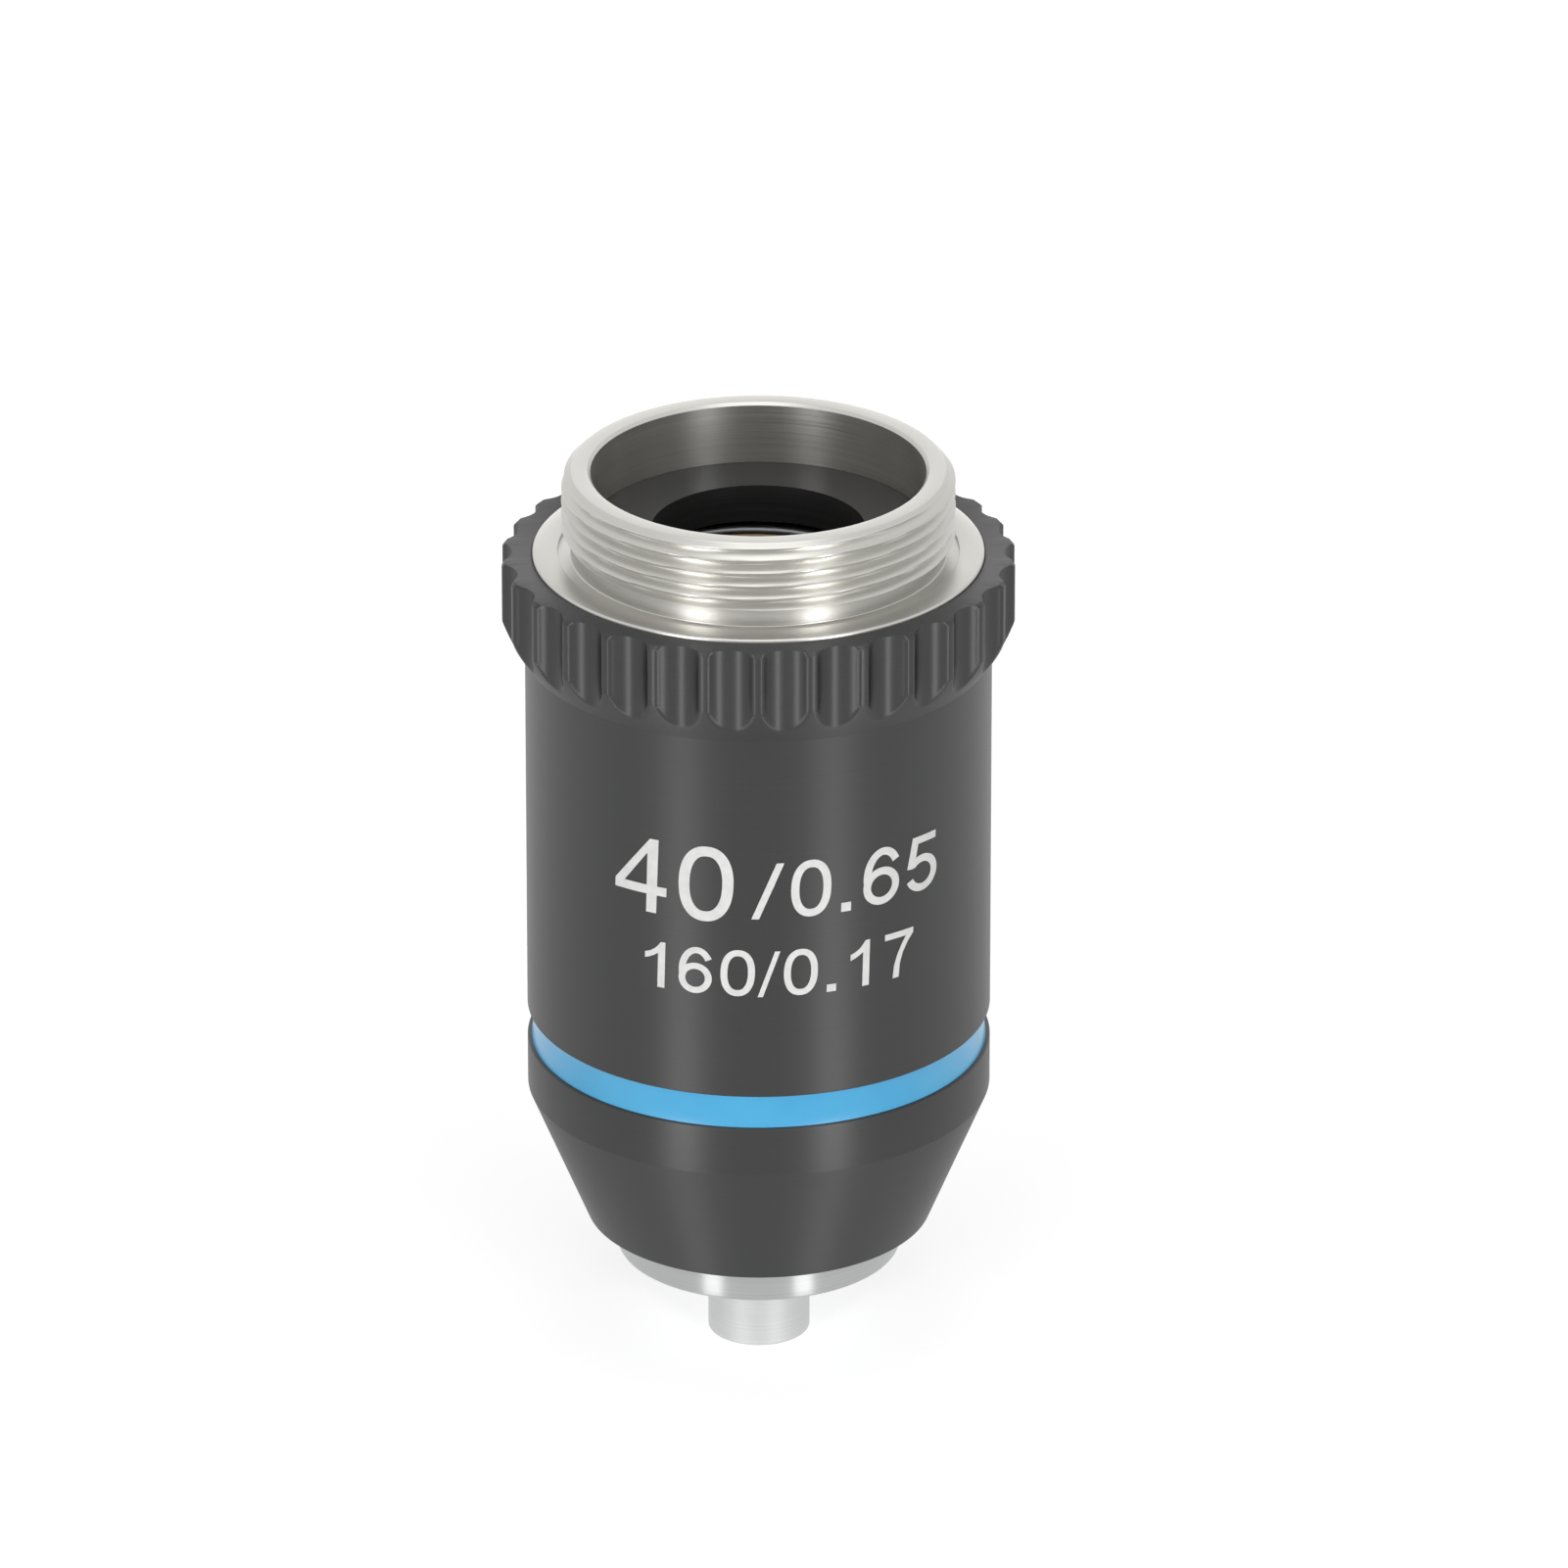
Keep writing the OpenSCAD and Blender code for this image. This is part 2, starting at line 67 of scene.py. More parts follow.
# Radii from the thread inwards: recess, guide, lens tube and light bore
RECESS_R = THREAD_R - 1.5
GUIDE_R = RECESS_R - 0.6
TUBE_R = GUIDE_R - 1.8
LEDGE_R = TUBE_R + 0.1
LIGHT_R = TUBE_R - 1.0

# Radii from the guide outwards: spot face of the guide screw, sleeve, collar, neck and flange
GUIDE_OUT_R = GUIDE_R + 1.3
SPOT_FLOOR = GUIDE_OUT_R - 0.2
BORE_R = SPOT_FLOOR + 1.5
BARREL_R = BORE_R + 1.4
COLLAR_R = BARREL_R + 1.2
NECK_R = BORE_R + 0.3
FLANGE_R = NECK_R + 0.7
SLEEVE_NECK_R = NECK_R + SCREW_GAP
SLEEVE_SEAT_R = FLANGE_R + SCREW_GAP

# Radii of the nose and of the cone's end round it
TUBE_BORE_R = TUBE_R + SCREW_GAP
RING_R = TUBE_BORE_R + 1.145
CONE_BORE_R = RING_R + 0.15
CONE_END_R = CONE_BORE_R + 1.375
TIP_R = 2.65
TIP_BORE_R = TIP_R + SCREW_GAP
TIP_FLANGE_R = TUBE_R - 0.03
NOSE_NECK_END_R = TIP_BORE_R + 0.42
NOSE_NECK_R = NOSE_NECK_END_R + 1.5
LENS_POCKET_R = TIP_R - 0.97
TIP_THROAT_R = 2.165
TIP_HOLE_R = 1.312

# Heights from the front lens upwards: tip, ring, cone and colour band
NOSE_Z = -44.23
LENS_SEAT_Z = NOSE_Z + 0.1
LENS_POCKET_TOP = LENS_SEAT_Z + 2.0
RING_Z = NOSE_Z + 4.93
RING_TOP = RING_Z + 4.1
NOSE_NECK_Z = RING_Z - 1.9
PLATE_TOP = RING_Z + 1.3
TIP_FLANGE_T = 0.8
CONE_END = RING_Z + 2.1
CONE_FLOOR = CONE_END + 2.0
CONE_TOP = CONE_END + 7.35
BAND_LOW = CONE_TOP + 2.65
BAND_TOP = BAND_LOW + 1.8

# Heights of the guide and of the spring between the sliding tube's collar and the retainer
TRAVEL = 2.0
GUIDE_Z = RING_TOP + TRAVEL + 0.2
GUIDE_LEAD = 0.8
LEDGE_Z = GUIDE_Z + 1.5
COIL_LOW = LEDGE_Z + 9.3
SCREW_Z = COIL_LOW - 2.3
RETAINER_Z = THREAD_TOP - 5.3

# Heights of the flange, the neck and the collar, from the seating face downwards
FLANGE_T = 1.6
NECK_Z = -FLANGE_T - 4.9
SLEEVE_NECK_Z = NECK_Z - EDGE
COLLAR_TOP = -0.15
COLLAR_LOW = -3.4
BARREL_TOP = COLLAR_LOW - 2.1

# Cone of the sleeve: how much it widens for each millimetre of height, and the hollow inside it
CONE_RUN = (BARREL_R - CONE_END_R) / (CONE_TOP - CONE_END)
CONE_WALL = 1.2
CONE_FLOOR_R = CONE_END_R + CONE_RUN * (CONE_FLOOR - CONE_END) - CONE_WALL
INNER_CONE_Z = CONE_FLOOR + (BORE_R - CONE_FLOOR_R) / CONE_RUN

# Grip flutes round the collar, and the bulge of the taper that they run out on
FLUTES = 30
FLUTE_DEPTH = 0.6
RIDGE_WIDTH = 0.35
FLUTE_HALF_WIDTH = math.pi * COLLAR_R / FLUTES - RIDGE_WIDTH / 2
FLUTE_R = (FLUTE_HALF_WIDTH ** 2 + FLUTE_DEPTH ** 2) / (2 * FLUTE_DEPTH)
RIDGE_WEAR = 0.035
CLEAR_OF_FLUTES = 99.0
TAPER_BULGE = 0.12

# The flutes are cut outside this radius and above this height, in a mesh with rings this far apart
FLUTE_CUT_R = BARREL_R + 0.3
FLUTE_CUT_LOW = BARREL_TOP + 0.02
FLUTE_RING_STEP = 0.4

# Colour band, whose enamel climbs a little at the walls of its groove
GROOVE_R = BARREL_R - 0.4
BAND_R = GROOVE_R + 0.12
BAND_CLIMB = 0.07

# Lens tube: black up to one radius and bare brass from the next, with this share of the brass's colour left
BLACK_TO_R = LIGHT_R + 0.05
BARE_FROM_R = LIGHT_R + 0.1
BLACKENED = 0.04

# Holes for the guide screw, and how far a cutter reaches past what it cuts
SCREW_R = 0.8
SCREW_HOLE_R = SCREW_R + SCREW_GAP
SPOT_R = SCREW_R + 0.66
OVERCUT = 0.5

# Coil spring
WIRE_R = 0.45
COIL_R = (TUBE_R + GUIDE_R) / 2
COIL_TURNS = 8
CLOSED_RISE = 2 * WIRE_R + 0.05
STEPS_A_TURN = 48
WIRE_SIDES = 12

# Printed figures: stroke in a line one unit high, lean, and the paint's foot and thickness on the barrel
STROKE = 0.134
LEAN = 0.028
PAINT_FOOT = 0.004
PAINT_THICKNESS = 0.012

# How the figures' faces are cut: only inside the outlines, with points this close taken as one
INSIDE_ONLY = 1
SAME_PLACE = 1e-5

# Camera, from the photograph's perspective. Its distance is in metres and its elevation in degrees
LOOK_AT = (1.31, 0.0, -13.2)
CAMERA_DISTANCE = 0.8
CAMERA_ELEVATION = 24.3
CAMERA_LENS = 356.2
CAMERA_SENSOR = 36.0
CAMERA_CLIP = (0.05, 50.0)

# Floor just under the tip, with its reach in metres, and how bright the floor and the world are
FLOOR_Z = NOSE_Z - 0.03
FLOOR_REACH = 6.0
FLOOR_GREY = (0.8, 0.8, 0.8, 1)
FLOOR_LIFT = 0.6
WORLD_LEVEL = 0.33
SEEN_LEVEL = 1.0
WHITE = (1, 1, 1, 1)

# Each lamp's name, azimuth and elevation in degrees, distance and size in metres, and power in watts
LAMPS = [
    ("left_box", -36, 8, 0.7, (0.18, 0.28), 1.95),
    ("right_box", 35, 8, 0.7, (0.18, 0.28), 2.0),
    ("top_box", 10, 80, 0.8, (0.5, 0.5), 1.0),
    ("back_box", 180, 9, 0.9, (0.4, 0.2), 0.5),
]


# Meshes


def outward_mesh(name, points, faces):
    """A closed mesh whose faces all look outwards."""
    mesh = bpy.data.meshes.new(name)
    mesh.from_pydata(points, [], faces)
    shell = bmesh.new()
    shell.from_mesh(mesh)
    bmesh.ops.recalc_face_normals(shell, faces=shell.faces)
    shell.to_mesh(mesh)
    shell.free()
    return mesh


def finish_mesh(name, mesh, body, material, sharp=35.0):
    """Links a mesh in millimetres as a shaded piece in metres that rides on a body."""
    mesh.transform(Matrix.Scale(MM, 4))
    mesh.shade_smooth()
    mesh.set_sharp_from_angle(angle=math.radians(sharp))
    mesh.materials.append(material)
    piece = bpy.data.objects.new(name, mesh)
    bpy.context.scene.collection.objects.link(piece)
    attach(piece, body)
    return piece


def rounded(corners, arc_steps=4, most_trim=0.45, straight=math.radians(175)):
    """A closed profile from (r, z) corners, where an (r, z, radius) corner becomes an arc of that radius.

    An arc takes up no more than most_trim of each side that it joins, and a corner that opens wider than
    straight stays as it is.
    """
    points = []
    count = len(corners)
    for i, corner in enumerate(corners):
        here = np.array(corner[:2], float)
        radius = corner[2] if len(corner) > 2 else 0.0
        before = np.array(corners[i - 1][:2], float) - here
        after = np.array(corners[(i + 1) % count][:2], float) - here
        reach_before = np.linalg.norm(before)
        reach_after = np.linalg.norm(after)
        before /= reach_before
        after /= reach_after
        opening = math.acos(float(np.clip(before @ after, -1, 1)))
        if radius <= 0 or opening > straight:
            points.append(tuple(here))
            continue
        trim = min(radius / math.tan(opening / 2), most_trim * reach_before, most_trim * reach_after)
        radius = trim * math.tan(opening / 2)
        bisector = (before + after) / np.linalg.norm(before + after)
        centre = here + bisector * radius / math.sin(opening / 2)
        first = here + before * trim - centre
        last = here + after * trim - centre
        turn = math.atan2(first[0] * last[1] - first[1] * last[0], float(first @ last))
        for k in range(arc_steps + 1):
            a = turn * k / arc_steps
            c = math.cos(a)
            s = math.sin(a)
            points.append(tuple(centre + (first[0] * c - first[1] * s, first[0] * s + first[1] * c)))
    return points


def lathe_mesh(name, profile, segments, radius_at=None):
    """A ring of the closed profile about Z.

    radius_at(r, z, angle) may change a radius, as flutes and threads do.
    """
    r = np.array([p[0] for p in profile])
    z = np.array([p[1] for p in profile])
    angle = np.linspace(0, 2 * math.pi, segments, endpoint=False)
    grid_r, grid_a = np.meshgrid(r, angle, indexing="ij")
    grid_z = np.repeat(z[:, None], segments, axis=1)
    if radius_at is not None:
        grid_r = radius_at(grid_r, grid_z, grid_a)
    points = np.stack([grid_r * np.cos(grid_a), grid_r * np.sin(grid_a), grid_z], axis=-1)
    rows, columns = np.meshgrid(np.arange(len(profile)), np.arange(segments), indexing="ij")
    row = rows * segments
    next_row = (rows + 1) % len(profile) * segments
    next_column = (columns + 1) % segments
    corners = [row + columns, row + next_column, next_row + next_column, next_row + columns]
    faces = np.stack(corners, axis=-1)
    return outward_mesh(name, points.reshape(-1, 3).tolist(), faces.reshape(-1, 4).tolist())


def between(low, high, step):
    """Heights from low to high, both included, about step apart."""
    return np.linspace(low, high, max(2, int(round(abs(high - low) / step)) + 1))


# Materials


def new_material(name, **settings):
    """A material whose Principled shader takes these socket values, with its node tree and its shader."""
    material = bpy.data.materials.new(name)
    material.use_nodes = True
    tree = material.node_tree
    shader = tree.nodes["Principled BSDF"]
    for socket, value in settings.items():
        shader.inputs[socket.replace("_", " ")].default_value = value
    return material, tree, shader


def add_node(tree, kind, **values):
    """A new node, with its properties and its inputs set by name."""
    node = tree.nodes.new(kind)
    for key, value in values.items():
        if hasattr(node, key):
            setattr(node, key, value)
        else:
            node.inputs[key.replace("_", " ")].default_value = value
    return node


def fixed_noise(tree, scale, detail):
    """A noise that stays where it is on the object."""
    place = add_node(tree, "ShaderNodeTexCoord")
    noise = add_node(tree, "ShaderNodeTexNoise", Scale=scale, Detail=detail)
    tree.links.new(place.outputs["Object"], noise.inputs["Vector"])
    return noise


def turned_marks(tree, shader, spacing, depth, across=60):
    """Fine rings that a lathe tool leaves round Z, with a little uneven noise, as a bump."""
    place = add_node(tree, "ShaderNodeTexCoord")
    stretch = add_node(tree, "ShaderNodeMapping")
    stretch.inputs["Scale"].default_value = (across, across, 1 / (spacing * MM))
    tree.links.new(place.outputs["Object"], stretch.inputs["Vector"])
    rings = add_node(tree, "ShaderNodeTexNoise", Scale=1.0, Detail=3.0, Roughness=0.6)
    tree.links.new(stretch.outputs["Vector"], rings.inputs["Vector"])
    bump = add_node(tree, "ShaderNodeBump", Strength=1.0, Distance=depth * MM)
    tree.links.new(rings.outputs["Fac"], bump.inputs["Height"])
    tree.links.new(bump.outputs["Normal"], shader.inputs["Normal"])
    return rings


def turned_tangent(tree, shader):
    """Points the shader's long highlight across the lathe marks."""
    tangent = add_node(tree, "ShaderNodeTangent", direction_type="RADIAL", axis="Z")
    tree.links.new(tangent.outputs["Tangent"], shader.inputs["Tangent"])


def vary(tree, shader, source, socket, low, high):
    """Lets a texture move a shader value between two levels."""
    levels = add_node(tree, "ShaderNodeMapRange")
    levels.inputs["To Min"].default_value = low
    levels.inputs["To Max"].default_value = high
    tree.links.new(source.outputs["Fac"], levels.inputs["Value"])
    tree.links.new(levels.outputs["Result"], shader.inputs[socket])


def vary_colour(tree, shader, source, dark, light):
    """Lets a texture move the base colour between two tones."""
    ramp = add_node(tree, "ShaderNodeValToRGB")
    ramp.color_ramp.elements[0].color = (*dark, 1)
    ramp.color_ramp.elements[1].color = (*light, 1)
    ramp.color_ramp.elements[0].position = 0.3
    ramp.color_ramp.elements[1].position = 0.7
    tree.links.new(source.outputs["Fac"], ramp.inputs["Fac"])
    tree.links.new(ramp.outputs["Color"], shader.inputs["Base Color"])


def turned_metal(name, dark, light, roughness, depth=0.0012, anisotropy=0.6):
    """Bare or plated metal, turned on a lathe."""
    material, tree, shader = new_material(
        name, Metallic=1.0, Anisotropic=anisotropy, Anisotropic_Rotation=0.25)
    turned_tangent(tree, shader)
    rings = turned_marks(tree, shader, spacing=0.09, depth=depth)
    vary_colour(tree, shader, rings, dark, light)
    vary(tree, shader, rings, "Roughness", low=0.8 * roughness, high=1.2 * roughness)
    return material


def turned_brass(name):
    """Bare brass, turned on a lathe."""
    return turned_metal(name, dark=(0.58, 0.42, 0.17), light=(0.68, 0.51, 0.23), roughness=0.3)


def make_sleeve_coat():
    """Satin dark grey coat over turned metal."""
    material, tree, shader = new_material(
        "sleeve_paint", Metallic=0.0, Anisotropic=0.92, Anisotropic_Rotation=0.25, IOR=1.5,
        Specular_IOR_Level=0.76)
    turned_tangent(tree, shader)
    rings = turned_marks(tree, shader, spacing=0.07, depth=0.0015)
    vary_colour(tree, shader, rings, dark=(0.0090, 0.0092, 0.0099), light=(0.0145, 0.0148, 0.0158))
    vary(tree, shader, rings, "Roughness", low=0.43, high=0.51)
    return material


def make_band_enamel():
    """Light blue enamel with a soft gloss."""
    material, tree, shader = new_material(
        "band_enamel", Roughness=0.35, Coat_Weight=0.3, Coat_Roughness=0.12)
    cloud = fixed_noise(tree, scale=260.0, detail=2.0)
    vary_colour(tree, shader, cloud, dark=(0.048, 0.385, 0.695), light=(0.062, 0.420, 0.730))
    return material


def make_tube_brass():
    """Turned brass whose bore is blackened against stray light."""
    material = turned_brass("tube_brass")
    tree = material.node_tree
    shader = tree.nodes["Principled BSDF"]
    brass = shader.inputs["Base Color"].links[0].from_socket
    place = add_node(tree, "ShaderNodeTexCoord")
    flat = add_node(tree, "ShaderNodeVectorMath", operation="MULTIPLY")
    flat.inputs[1].default_value = (1, 1, 0)
    radius = add_node(tree, "ShaderNodeVectorMath", operation="LENGTH")
    outside = add_node(tree, "ShaderNodeMapRange")
    outside.inputs["From Min"].default_value = BLACK_TO_R * MM
    outside.inputs["From Max"].default_value = BARE_FROM_R * MM
    outside.inputs["To Min"].default_value = BLACKENED
    blackened = add_node(tree, "ShaderNodeVectorMath", operation="SCALE")
    tree.links.new(place.outputs["Object"], flat.inputs[0])
    tree.links.new(flat.outputs["Vector"], radius.inputs[0])
    tree.links.new(radius.outputs["Value"], outside.inputs["Value"])
    tree.links.new(brass, blackened.inputs[0])
    tree.links.new(outside.outputs["Result"], blackened.inputs["Scale"])
    tree.links.new(blackened.outputs["Vector"], shader.inputs["Base Color"])
    return material


def make_black_metal():
    """Blackened brass."""
    material, tree, shader = new_material(
        "black_metal", Metallic=0.4, Anisotropic=0.5, Anisotropic_Rotation=0.25)
    turned_tangent(tree, shader)
    rings = turned_marks(tree, shader, spacing=0.1, depth=0.001)
    vary_colour(tree, shader, rings, dark=(0.022, 0.022, 0.023), light=(0.036, 0.035, 0.035))
    vary(tree, shader, rings, "Roughness", low=0.4, high=0.55)
    return material


def make_glass(name, tint, film_nm):
    """Polished glass with a thin film that gives a coloured reflection."""
    material, tree, shader = new_material(
        name, Base_Color=(*tint, 1), Roughness=0.01, IOR=1.55, Transmission_Weight=1.0,
        Thin_Film_Thickness=film_nm, Thin_Film_IOR=1.38)
    dust = fixed_noise(tree, scale=900.0, detail=4.0)
    vary(tree, shader, dust, "Roughness", low=0.0, high=0.02)
    return material


def make_figure_paint():
    """White printed figures, slightly uneven."""
    material, tree, shader = new_material("figure_paint", Roughness=0.5)
    grain = fixed_noise(tree, scale=2400.0, detail=3.0)
    vary_colour(tree, shader, grain, dark=(0.68, 0.68, 0.67), light=(0.76, 0.76, 0.75))
    return material


def make_materials():
    """Every material by its name: those of the record's slots, and three that only this script uses."""
    return {
        "sleeve_paint": make_sleeve_coat(),
        "band_enamel": make_band_enamel(),
        "plated_body": turned_metal(
            "plated_body", dark=(0.52, 0.51, 0.48), light=(0.59, 0.58, 0.55), roughness=0.33),
        "black_metal": make_black_metal(),
        "spring_steel": turned_metal(
            "spring_steel", dark=(0.40, 0.41, 0.43), light=(0.50, 0.51, 0.53), roughness=0.32,
            anisotropy=0.2),
        "lens_brass": turned_brass("lens_brass"),
        "tube_brass": make_tube_brass(),
        "nose_chrome": turned_metal(
            "nose_chrome", dark=(0.44, 0.45, 0.45), light=(0.49, 0.50, 0.50), roughness=0.3, depth=0.0004,
            anisotropy=1.0),
        "tip_plate": turned_metal(
            "tip_plate", dark=(0.55, 0.56, 0.56), light=(0.62, 0.63, 0.63), roughness=0.5,
            anisotropy=0.3),
        "crown_glass": make_glass("crown_glass", tint=(0.97, 0.99, 1.0), film_nm=420.0),
        "flint_glass": make_glass("flint_glass", tint=(0.98, 0.99, 0.96), film_nm=480.0),
        "figure_paint": make_figure_paint(),
    }


def dress_frame(frame, materials):
    """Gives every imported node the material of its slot, and the lens tube brass with a blackened bore."""
    for part in frame["record"]["subparts"]:
        look = "tube_brass" if part["node"] == "lens_tube" else part["material_slot"]
        node = frame["nodes"][part["node"]]
        node.data.materials.clear()
        node.data.materials.append(materials[look])


# Turned pieces, from profiles whose corners are (radius, height) or (radius, height, rounding)


def fluted(radius, height, angle):
    """The collar's radius where a round grip flute runs through it, with softly worn ridges."""
    pitch = 2 * math.pi / FLUTES
    from_ridge = (angle + math.pi / 2) % pitch
    off_centre = from_ridge - pitch / 2
    centre_r = COLLAR_R - FLUTE_DEPTH + FLUTE_R
    reach = np.clip(FLUTE_R ** 2 - (centre_r * np.sin(off_centre)) ** 2, 0, None)
    flute_wall = np.where(reach > 0, centre_r * np.cos(off_centre) - np.sqrt(reach), CLEAR_OF_FLUTES)
    blend = np.clip(0.5 + 0.5 * (flute_wall - radius) / RIDGE_WEAR, 0, 1)
    cut = flute_wall * (1 - blend) + radius * blend - RIDGE_WEAR * blend * (1 - blend)
    on_grip = (radius > FLUTE_CUT_R) & (height > FLUTE_CUT_LOW)
    return np.where(on_grip, cut, radius)


def on_taper(t):
    """A corner of the slightly bulged taper from the collar, at t = 0, to the barrel, at t = 1."""
    radius = COLLAR_R + (BARREL_R - COLLAR_R) * t + TAPER_BULGE * math.sin(math.pi * t)
    return radius, COLLAR_LOW + (BARREL_TOP - COLLAR_LOW) * t


def build_sleeve(material):
    """Shell in one piece: fluted collar, barrel, groove for the band, cone, and the bores inside them."""
    corners = [
        (SLEEVE_SEAT_R, COLLAR_TOP, 0.05),
        (COLLAR_R - EDGE, COLLAR_TOP, 0.05),
        (COLLAR_R, COLLAR_TOP - EDGE, 0.05),
    ]
    # The flutes need corners all the way down the collar and its taper
    corners += [(COLLAR_R, z) for z in between(COLLAR_TOP - 0.5, COLLAR_LOW + 0.1, FLUTE_RING_STEP)]
    corners += [on_taper(t) for t in np.linspace(0, 1, 29)]
    corners += [
        (BARREL_R, BAND_TOP, EDGE / 2),
        (GROOVE_R, BAND_TOP),
        (GROOVE_R, BAND_LOW),
        (BARREL_R, BAND_LOW, EDGE / 2),
        (BARREL_R, CONE_TOP, 0.25),
        (CONE_END_R + EDGE / 2 * CONE_RUN, CONE_END, EDGE),
        (CONE_BORE_R, CONE_END, 0.12),
        (CONE_BORE_R, CONE_FLOOR),
        (CONE_FLOOR_R, CONE_FLOOR),
        (BORE_R, INNER_CONE_Z),
        (BORE_R, SLEEVE_NECK_Z),
        (SLEEVE_NECK_R, SLEEVE_NECK_Z),
        (SLEEVE_NECK_R, -FLANGE_T),
        (SLEEVE_SEAT_R, -FLANGE_T),
    ]
    mesh = lathe_mesh("fluted_sleeve", rounded(corners), segments=720, radius_at=fluted)
    sleeve = finish_mesh("fluted_sleeve", mesh, "body", material, sharp=40)
    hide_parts("outer_sleeve")


def build_band(material):
    """Enamel in the groove, with a shallow hollow between its two edges."""
    profile = [(BAND_R + BAND_CLIMB * abs(2 * t - 1) ** 3, BAND_TOP + (BAND_LOW - BAND_TOP) * t)
               for t in np.linspace(0, 1, 17)]
    profile += [(GROOVE_R, BAND_LOW), (GROOVE_R, BAND_TOP)]
    mesh = lathe_mesh("enamel_band", profile, segments=360)
    band = finish_mesh("enamel_band", mesh, "body", material)
    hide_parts("colour_band")


def threaded(radius, height, angle):
    """The spigot's radius where the right-handed mounting thread runs round it."""
    phase = (height / THREAD_PITCH - angle / (2 * math.pi)) % 1.0
    ridge = 1 - np.abs(2 * phase - 1)
    smooth = ridge * ridge * (3 - 2 * ridge)
    form = ridge + THREAD_SOFTNESS * (smooth - ridge)
    wall = THREAD_R - THREAD_DEPTH * (1 - form)
    on_thread = (radius > THREAD_CUT_R) & (height > THREAD_CUT_LOW) & (height < THREAD_CUT_TOP)
    return np.where(on_thread, np.minimum(radius, wall), radius)


def drill(piece, radius, inner, outer):
    """Cuts a round hole along Y out of a finished piece, where the guide screw stands."""
    middle = Matrix.Translation((0, (inner + outer) / 2 * MM, SCREW_Z * MM))
    along_y = Matrix.Rotation(math.pi / 2, 4, "X")
    tool = bmesh.new()
    bmesh.ops.create_cone(
        tool, cap_ends=True, segments=48, radius1=radius * MM, radius2=radius * MM,
        depth=(outer - inner) * MM, matrix=middle @ along_y)
    mesh = bpy.data.meshes.new("drill")
    tool.to_mesh(mesh)
    tool.free()
    cutter = bpy.data.objects.new("drill", mesh)
    bpy.context.scene.collection.objects.link(cutter)
    cut = piece.modifiers.new("drill", "BOOLEAN")
    cut.operation = "DIFFERENCE"
    cut.solver = "EXACT"
    cut.object = cutter
    depsgraph = bpy.context.evaluated_depsgraph_get()
    drilled = bpy.data.meshes.new_from_object(piece.evaluated_get(depsgraph))
    piece.modifiers.clear()
    piece.data = drilled
    bpy.data.objects.remove(cutter)


def build_mount(material):
    """One piece of thread, flange, neck and guide, with the guide screw's hole and spot face in it."""
    crest_top = THREAD_TOP - THREAD_LEAD - 0.05
    crest_low = RELIEF_TOP + 0.15
    corners = [
        (RECESS_R + MOUTH_CHAMFER, THREAD_TOP, 0.05),
        (THREAD_R - THREAD_LEAD, THREAD_TOP, 0.05),
    ]
    # The thread needs corners all the way down its lead and its crests
    corners += [(THREAD_R - THREAD_LEAD * t, THREAD_TOP - THREAD_LEAD * (1 - t))
                for t in np.linspace(0.9, 0, 10)]
    corners += [(THREAD_R, z) for z in between(crest_top, crest_low, THREAD_RING_STEP)]
    # Two close corners keep the thread's run-out from spoiling the shading of the relief
    corners += [
        (RELIEF_R, RELIEF_TOP + 0.005),
        (RELIEF_R, RELIEF_TOP - 0.02),
        (RELIEF_R, -SEAT_STEP, 0.08),
        (SEAT_STEP_R, -SEAT_STEP),
        (SEAT_STEP_R, 0, 0.03),
        (FLANGE_R, 0, 0.12),
        (FLANGE_R, -FLANGE_T),
        (NECK_R, -FLANGE_T),
        (NECK_R, NECK_Z, EDGE),
        (GUIDE_OUT_R, NECK_Z, 0.1),
        (GUIDE_OUT_R, GUIDE_Z + GUIDE_LEAD),
        (GUIDE_OUT_R - GUIDE_LEAD, GUIDE_Z),
        (LEDGE_R, GUIDE_Z),
        (LEDGE_R, LEDGE_Z),
        (GUIDE_R, LEDGE_Z),
        (GUIDE_R, RETAINER_Z),
        (RECESS_R, RETAINER_Z),
        (RECESS_R, THREAD_TOP - MOUTH_CHAMFER),
    ]
    mesh = lathe_mesh("threaded_mount", rounded(corners), segments=240, radius_at=threaded)
    mount = finish_mesh("threaded_mount", mesh, "body", material, sharp=30)
    drill(mount, SCREW_HOLE_R, GUIDE_R - OVERCUT, GUIDE_OUT_R + OVERCUT)
    drill(mount, SPOT_R, SPOT_FLOOR, GUIDE_OUT_R + OVERCUT)
    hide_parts("mount_body")


